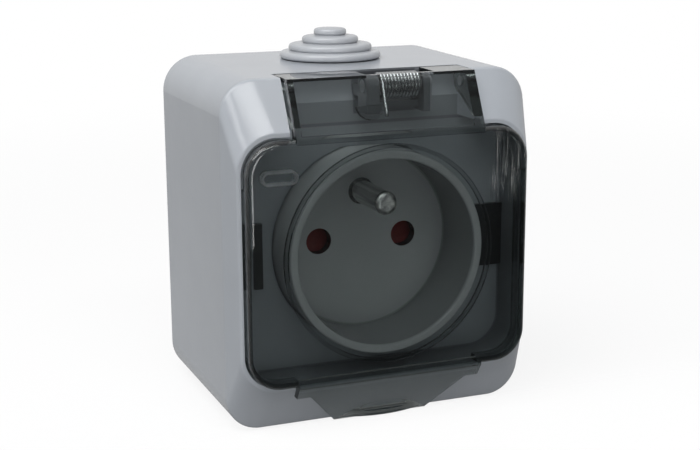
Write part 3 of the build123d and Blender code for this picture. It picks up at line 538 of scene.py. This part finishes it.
# %% Moulded finishes
finishes = {
    "body_plastic": housing_grey,
    # The insert's colour has painted shade on the well's wall and in the live holes.
    "insert_plastic": moulded(
        "insert grey",
        (0.40, 0.41, 0.42),
        (0.42, 0.43, 0.44),
        gloss=(0.16, 0.24),
        peel=0.05,
        boxes=(*well, live_holes),
    ),
    "plate_plastic": moulded("plate grey", (0.24, 0.25, 0.26), (0.27, 0.28, 0.29), (0.45, 0.6), 0.12),
    "carrier_plastic": moulded("carrier cream", (0.6, 0.58, 0.52), (0.66, 0.64, 0.58), (0.45, 0.6), 0.12),
    "clip_black": moulded("clip black", (0.006, 0.007, 0.008), (0.012, 0.013, 0.014), (0.25, 0.4), 0.08),
    "shutter_red": moulded("shutter red", (0.13, 0.007, 0.005), (0.17, 0.011, 0.008), (0.3, 0.45), 0.08),
    "grommet_rubber": moulded("grommet rubber", (0.40, 0.415, 0.44), (0.44, 0.455, 0.48), (0.2, 0.3), 0.06),
    "seal_rubber": moulded("seal rubber", (0.012, 0.012, 0.012), (0.02, 0.02, 0.02), (0.6, 0.75), 0.15),
}
print("moulded finishes:", sorted(finishes))

# %% [markdown]
# ## Metals
# Pressed and turned metal shows fine lines along the way it was worked, and a cloudy tarnish. A scanned
# texture could show them, but noise does too when it is stretched along one axis: the object coordinates
# are scaled much more across the lines than along them.

# %% A group for worked metal
worked_lines, lines_in, lines_out = group_tree(
    "worked lines",
    {"Along X": 200.0, "Along Y": 200.0, "Along Z": 200.0},
    ("Lines", "Tarnish"),
)
metal_place = object_place(worked_lines)
line_rates = add_node(
    worked_lines, "ShaderNodeCombineXYZ", **{axis: lines_in[f"Along {axis}"] for axis in "XYZ"}
)
stretched = vector_node(worked_lines, "MULTIPLY", metal_place, line_rates.outputs[0])
line_noise = add_node(worked_lines, "ShaderNodeTexNoise", Vector=stretched, Scale=1.0, Detail=3.0)
tarnish_noise = add_node(worked_lines, "ShaderNodeTexNoise", Vector=metal_place, Scale=350.0, Detail=4.0)
join(worked_lines, line_noise.outputs["Fac"], lines_out["Lines"])
join(worked_lines, tarnish_noise.outputs["Fac"], lines_out["Tarnish"])
print("group:", worked_lines.name, list(lines_out.keys()))

# %% [markdown]
# Each metal keeps a plain Metallic of 1. Its colour follows the tarnish, and its roughness and a very low
# bump follow the lines. The earth pin is bright plating, and there the lines carry the colour too: their
# broad dark and bright bands along the pin are worked lines and also a painted reflection. Its end, which
# every plug rubs, is satin: the box group adds roughness there.

# %% Worked metals
def worked_metal(name, low, high, gloss, rates, colour_by="Tarnish", satin=None):
    """A metal between the shades low and high: gloss is the range of the roughness, rates the noise scales
    along X, Y and Z, colour_by the noise that sets the shade, and satin a box that adds roughness."""
    finish = new_material(name)
    tree = finish.node_tree
    lines = use_group(tree, worked_lines, Along_X=rates[0], Along_Y=rates[1], Along_Z=rates[2])
    bump = add_node(tree, "ShaderNodeBump", Strength=0.15, Distance=0.05 * MM, Height=lines["Lines"])
    roughness = range_between(tree, lines["Lines"], *gloss)
    if satin:
        inputs, growth = satin
        inside = use_group(tree, inside_box, **inputs)["Inside"]
        roughness = math_node(tree, "ADD", roughness, math_node(tree, "MULTIPLY", inside, growth))
    shader = add_node(
        tree,
        "ShaderNodeBsdfPrincipled",
        Base_Color=ramp_between(tree, lines[colour_by], low, high),
        Roughness=roughness,
        Normal=bump.outputs["Normal"],
        Metallic=1.0,
    )
    add_node(tree, "ShaderNodeOutputMaterial", Surface=shader.outputs[0])
    return finish


pin_low, pin_high = np.array(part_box("earth_pin")) / MM
pin_x, _, pin_z = (pin_low + pin_high) / 2
around_pin, rubbed = np.array([-6.0, 6.0]), np.array([-0.9, 0.9])
pin_end = place_box(pin_x + around_pin, pin_low[1] + rubbed, pin_z + around_pin, corner=1.0, change=0.32)
# The pin's colour bands are worked lines and also a painted reflection.
finishes["pin_nickel"] = worked_metal(
    "pin nickel",
    (0.3, 0.3, 0.31),
    (0.95, 0.94, 0.92),
    gloss=(0.08, 0.14),
    rates=(900, 50, 900),
    colour_by="Lines",
    satin=pin_end,
)
print("finish:", finishes["pin_nickel"].name)

# %% [markdown]
# The other metals differ in colour and in the way their lines run: along X on the hinge wire, along Y on
# the fixing screws and the contact sleeves, and along Z on the earth strap and the terminal screws. The
# spring wire is too thin for a direction to show, so its noise is even.

# %% Steels and brasses
along_x, along_y, along_z = (300, 9000, 9000), (3000, 300, 3000), (3000, 3000, 300)
zinc_gloss, brass_gloss = (0.25, 0.45), (0.22, 0.4)
metals = {
    "spring_steel": ("spring wire", (0.36, 0.37, 0.38), (0.46, 0.47, 0.48), (0.18, 0.26), (500, 500, 500)),
    "hinge_steel": ("hinge wire", (0.55, 0.55, 0.56), (0.64, 0.64, 0.65), (0.25, 0.4), along_x),
    "screw_steel": ("screw zinc", (0.6, 0.6, 0.58), (0.7, 0.7, 0.68), zinc_gloss, along_y),
    "terminal_steel": ("terminal zinc", (0.6, 0.6, 0.57), (0.7, 0.7, 0.66), zinc_gloss, along_z),
    "contact_brass": ("contact brass", (0.6, 0.41, 0.16), (0.7, 0.5, 0.22), brass_gloss, along_y),
    "strap_brass": ("strap brass", (0.58, 0.4, 0.16), (0.68, 0.48, 0.21), brass_gloss, along_z),
}
finishes |= {slot: worked_metal(*values) for slot, values in metals.items()}
print("metal finishes:", sorted(metals))

# %% [markdown]
# ## The clear lid
# Clear plastic shows how it was moulded. At the upper left of the lid a small oval pad has a matt rim, and
# at the right the plastic flowed round the corner and left fine upright streaks. Both could be cut into
# the solid, but they are hardly deeper than the polish, so a group gives a mask for each.

# %% A group for the marks in the lid: the oval pad
lid_marks, marks_in, marks_out = group_tree(
    "lid marks",
    {
        "Pad X": -23.4 * MM,
        "Pad Z": 17.5 * MM,
        "Pad half length": 2.3 * MM,
        "Pad radius": 1.55 * MM,
        "Streaks start": 20.0 * MM,
    },
    ("Pad", "Streaks"),
)
mark_math, mark_range = partial(math_node, lid_marks), partial(ranged, lid_marks)
mark_place = object_place(lid_marks)
mark_axes = axes_of(lid_marks, mark_place)
along_pad = mark_math("ABSOLUTE", mark_math("SUBTRACT", mark_axes["X"], marks_in["Pad X"]))
past_end = mark_math("MAXIMUM", mark_math("SUBTRACT", along_pad, marks_in["Pad half length"]), 0.0)
across_pad = mark_math("SUBTRACT", mark_axes["Z"], marks_in["Pad Z"])
pad_share = mark_math("DIVIDE", slant(lid_marks, past_end, across_pad), marks_in["Pad radius"])
rim_inside = mark_range(pad_share, start=0.35, end=0.7)
rim_outside = mark_range(pad_share, start=1.05, end=0.85)
join(lid_marks, mark_math("MULTIPLY", rim_inside, rim_outside), marks_out["Pad"])
print("pad nodes:", len(lid_marks.nodes))

# %% [markdown]
# The streaks are noise again, very fine across X and long in the other two directions. Smooth steps keep
# them to the right of the place where they start and to the upper half of the lid.

# %% A group for the marks in the lid: the streaks
streak_rates = (1500.0, 40.0, 110.0)
streak_place = vector_node(lid_marks, "MULTIPLY", mark_place, streak_rates)
streak_noise = add_node(lid_marks, "ShaderNodeTexNoise", Vector=streak_place, Scale=1.0, Detail=4.0)
streak_lines = mark_range(streak_noise.outputs["Fac"], start=0.5, end=0.68)
past_start = mark_math("SUBTRACT", mark_axes["X"], marks_in["Streaks start"])
streak_side = mark_range(past_start, start=0.0, end=3.0 * MM)
streak_height = mark_range(mark_axes["Z"], start=6.0 * MM, end=14.0 * MM)
streaks = mark_math("MULTIPLY", mark_math("MULTIPLY", streak_side, streak_height), streak_lines)
join(lid_marks, streaks, marks_out["Streaks"])
print("group:", lid_marks.name, list(marks_out.keys()))

# %% [markdown]
# The lid is tinted through its whole thickness, so its edges and its side-on cheeks are darker than its
# panel. A tinted surface colour couldn't show that, so the plastic itself is nearly colourless and a
# volume inside it takes up light with depth. Light also has to reach the box through the lid: for
# shadow rays the surface is plainly see-through, and the volume still dims them.

# %% Smoke-grey clear plastic
def smoke_clear(name, tint, density):
    """Clear plastic: a refracting skin with faint flow marks, and a body that absorbs all but tint."""
    finish = new_material(name)
    tree = finish.node_tree
    skin = use_group(
        tree, moulded_skin, Drift_per_metre=45.0, Peel_per_metre=160.0, Grit_per_metre=4000.0
    )
    marks = use_group(tree, lid_marks)
    shades = ramp_between(tree, skin["Drift"], (0.955, 0.965, 0.962), (0.985, 0.99, 0.988))
    polish = range_between(tree, skin["Grit"], 0.0, 0.03)
    matt_rim = math_node(tree, "MULTIPLY", marks["Pad"], 0.3)
    peel = add_node(tree, "ShaderNodeBump", Strength=0.03, Distance=0.4 * MM, Height=skin["Peel"])
    streaked = add_node(tree, "ShaderNodeBump", Strength=0.5, Distance=0.1 * MM, Height=marks["Streaks"])
    feed(tree, streaked, {"Normal": peel.outputs["Normal"]})
    shader = add_node(
        tree,
        "ShaderNodeBsdfPrincipled",
        Base_Color=mix_node(tree, marks["Streaks"], shades, (0.72, 0.73, 0.73, 1), "RGBA", "MULTIPLY"),
        Roughness=math_node(tree, "ADD", polish, matt_rim),
        Normal=streaked.outputs["Normal"],
        IOR=1.5,
        Transmission_Weight=1.0,
    )
    passing = add_node(tree, "ShaderNodeBsdfTransparent", Color=grey(0.93))
    shadow_ray = tree.nodes.new("ShaderNodeLightPath").outputs["Is Shadow Ray"]
    body = add_node(tree, "ShaderNodeVolumeAbsorption", Color=(*tint, 1), Density=density)
    surface = mixed(tree, shadow_ray, shader.outputs[0], passing.outputs[0])
    add_node(tree, "ShaderNodeOutputMaterial", Surface=surface, Volume=body.outputs[0])
    return finish


finishes["lid_clear"] = smoke_clear("smoke clear", tint=(0.5, 0.53, 0.525), density=760.0)
print("lid finish:", finishes["lid_clear"].name)

# %% [markdown]
# ## Dressing the solids
# The record names a material slot for every solid, as a drawing's parts list names a material. The
# finishes could be set one by one, but read from the record they can't be mixed up.

# %% Give every solid its finish
slot_of = {entry["node"]: entry["material_slot"] for entry in frame["record"]["subparts"]}
for name, solid in nodes.items():
    solid.data.materials.clear()
    solid.data.materials.append(finishes[slot_of[name]])
print("finished solids:", len(slot_of))

# %% [markdown]
# ## Springs
# The lid's spring is hard-drawn wire wound close on a mandrel, with both ends left straight as legs. It
# sits on its arbor between two lugs of the housing, on the line of the hinge pins. One leg lies along the
# back of the lid's sloping tongue and the other points down in the notch. Its path could be drawn as a
# curve. Here it is worked out with a tangent and a normal at every point: on a coil the normal is simply
# the way from the axis, and the legs keep the normal of the coil's ends.

# %% Path of the lid's spring
def coil_path(origin, axis, first, radius, length, turn, legs=(0.0, 0.0), per_turn=40, leg_steps=8):
    """Path, tangents and normals of a coil: origin + length t along the axis + radius at an angle that
    grows by turn over t from 0 to 1, measured from the direction first; legs are the straight ends."""
    axis, first = np.array(axis, float), np.array(first, float)
    second = np.cross(axis, first)
    t = np.linspace(0, 1, int(abs(turn) / (2 * np.pi) * per_turn) + 1)[:, None]
    outward = np.cos(turn * t) * first + np.sin(turn * t) * second
    sideways = np.cos(turn * t) * second - np.sin(turn * t) * first
    path = np.array(origin) + length * t * axis + radius * outward
    tangent = length * axis + radius * turn * sideways
    tangent /= np.linalg.norm(tangent, axis=1, keepdims=True)
    lead = np.linspace(legs[0], 0, leg_steps, endpoint=False)[:, None]
    tail = np.linspace(legs[1], 0, leg_steps, endpoint=False)[::-1, None]
    path = np.concatenate([path[:1] - lead * tangent[:1], path, path[-1:] + tail * tangent[-1:]])
    ends = ((leg_steps, leg_steps), (0, 0))
    return path, np.pad(tangent, ends, mode="edge"), np.pad(outward, ends, mode="edge")


hinge_y, hinge_z = np.mean(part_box("hinge_pin_left"), axis=0)[1:]
lid_coil_start, lid_coil_length, lid_coil_radius = 0.475 * MM, 8.25 * MM, 2.4 * MM
lid_turns, lid_legs = 11, (7.1 * MM, 3.0 * MM)
slope_normal = np.radians(153.86)  # from +Y towards +Z, square to the lid's tongue
coil_left = np.array([lid_coil_start, hinge_y, hinge_z])
lid_path = coil_path(
    coil_left,
    axis=(1, 0, 0),
    first=(0, np.cos(slope_normal), np.sin(slope_normal)),
    radius=lid_coil_radius,
    length=lid_coil_length,
    turn=-(lid_turns * 2 * np.pi + slope_normal),
    legs=lid_legs,
)
print("points along the lid's spring:", len(lid_path[0]))

# %% [markdown]
# The wire is a tube: a circle carried along the path, closed at both ends by small domes. A curve's bevel
# would give it too, but a mesh could let each point follow the lid or the box by its own share. The spring
# crosses the hinge.

# %% Lid spring
def wire(name, path, tangent, normal, radius, finish, around=14, dome=5):
    """Tube: path + radius (cos a normal + sin a binormal); at each end the radius falls to 0 in a dome."""
    rise = np.linspace(0, np.pi / 2, dome)[1:]
    before = path[:1] - radius * np.sin(rise[::-1, None]) * tangent[:1]
    after = path[-1:] + radius * np.sin(rise[:, None]) * tangent[-1:]
    reach = np.concatenate([np.cos(rise[::-1]), np.ones(len(path)), np.cos(rise)])
    path = np.concatenate([before, path, after])
    ends = ((len(rise), len(rise)), (0, 0))
    tangent, normal = np.pad(tangent, ends, mode="edge"), np.pad(normal, ends, mode="edge")
    normal = normal - np.sum(normal * tangent, axis=1, keepdims=True) * tangent
    normal /= np.linalg.norm(normal, axis=1, keepdims=True)
    binormal = np.cross(tangent, normal)
    a = np.linspace(0, 2 * np.pi, around, endpoint=False)
    circle = np.cos(a)[None, :, None] * normal[:, None] + np.sin(a)[None, :, None] * binormal[:, None]
    points = path[:, None] + radius * reach[:, None, None] * circle
    return surface_object(name, points, grid_quads(len(points), around, wrap_columns=True), finish)


lid_wire = 0.375 * MM
lid_coil = wire("lid_coil", *lid_path, lid_wire, finishes["spring_steel"])
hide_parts("lid_spring")
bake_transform(lid_coil)

# %% [markdown]
# The shutter's spring is a small compression coil in its slot below the shutter. It stands on the slot's
# floor. It is made like the lid's spring, on a path without legs, as wide and as high as the solid that it
# replaces.

# %% Shutter spring
slot_low, slot_high = np.array(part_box("shutter_spring"))
slot_width, _, slot_height = slot_high - slot_low
slot_wire, slot_turns, shutter_travel = 0.25 * MM, 8, 7.0 * MM
spring_anchor = [*(slot_low + slot_high)[:2] / 2, slot_low[2]]
slot_path = coil_path(
    np.array(spring_anchor) + [0, 0, slot_wire],
    axis=(0, 0, 1),
    first=(1, 0, 0),
    radius=slot_width / 2 - slot_wire,
    length=slot_height - 2 * slot_wire,
    turn=slot_turns * 2 * np.pi,
    per_turn=28,
)
shutter_coil = wire("shutter_coil", *slot_path, slot_wire, finishes["spring_steel"], around=10)
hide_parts("shutter_spring")
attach(shutter_coil, "base")
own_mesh(shutter_coil)

# %% [markdown]
# ## Cable grommet
# The grommet is a moulded rubber cone in steps; the installer cuts it off at the step that fits the
# cable. It could be a drawn profile with a Screw modifier. Rubber has no sharp edges, so here each corner
# of the half section becomes a small curve, and the outline is then turned round the axis.

# %% Rounded outlines, turned round an axis
def rounded_outline(corners, steps=6):
    """Each corner (radius, height, rounding) becomes the curve (1-t)^2 a + 2t(1-t) corner + t^2 b, where
    a and b lie its rounding away on the sides towards its neighbours."""
    corners = np.array(corners, float)
    places, roundings = corners[:, :2], corners[:, 2:]
    t = np.linspace(0, 1, steps)[None, :, None]
    to_last = np.roll(places, 1, axis=0) - places
    to_next = np.roll(places, -1, axis=0) - places
    a = places + roundings * to_last / np.linalg.norm(to_last, axis=1, keepdims=True)
    b = places + roundings * to_next / np.linalg.norm(to_next, axis=1, keepdims=True)
    curve = (1 - t) ** 2 * a[:, None] + 2 * t * (1 - t) * places[:, None] + t**2 * b[:, None]
    return curve.reshape(-1, 2)


def turned(name, outline, centre, finish, around=144):
    """Turns a half section of (radius, height) round the vertical line through centre."""
    a = np.linspace(0, 2 * np.pi, around, endpoint=False)
    x = centre[0] + outline[:, :1] * np.cos(a)
    y = centre[1] + outline[:, :1] * np.sin(a)
    points = np.stack([x, y, np.repeat(outline[:, 1:], around, axis=1)], axis=-1)
    return surface_object(name, points, grid_quads(len(points), around, True, True), finish)


cone_low, cone_high = np.array(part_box("cable_grommet")) / MM
print("grommet in mm:", np.round(cone_low, 2), np.round(cone_high, 2))

# %% [markdown]
# A lip below the top wall and a neck through it hold the grommet in its hole. Above, each step has a
# groove at its foot, an upright side and a wide rounding on top, which makes it bulge as soft rubber
# does. Inside, the cone is hollow with a thin roof.

# %% Stepped rubber cone
lip_radius, lip_height, bore_radius, neck_radius = 9.7, 1.5, 6.9, 8.4
step_radii, step_rise, cone_skin = (10.87, 8.95, 6.07, 3.5), 1.6, 1.1
groove, step_fall = 0.3, 0.2
inner_round, lip_round, neck_round = 0.2, 0.3, 0.1
groove_round, side_round, top_round = 0.05, 0.2, 0.8
foot, top = cone_low[2], cone_high[2]
seat, roof = top - len(step_radii) * step_rise, top - cone_skin
section = [
    (bore_radius, foot, inner_round),
    (lip_radius, foot, lip_round),
    (lip_radius, foot + lip_height, lip_round),
    (neck_radius, foot + lip_height, neck_round),
    (neck_radius, seat, neck_round),
]
for number, radius in enumerate(step_radii):
    tread = seat + number * step_rise
    section += [
        (radius - groove, tread, groove_round),
        (radius, tread + groove, side_round),
        (radius, tread + step_rise - step_fall, top_round),
    ]
section += [(0, top, 0), (0, roof, 0), (step_radii[-1] - cone_skin, roof, inner_round)]
cone_axis = (cone_low + cone_high)[:2] / 2 * MM
cone = turned("grommet_cone", rounded_outline(section) * MM, cone_axis, finishes["grommet_rubber"])
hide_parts("cable_grommet")
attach(cone, "base")
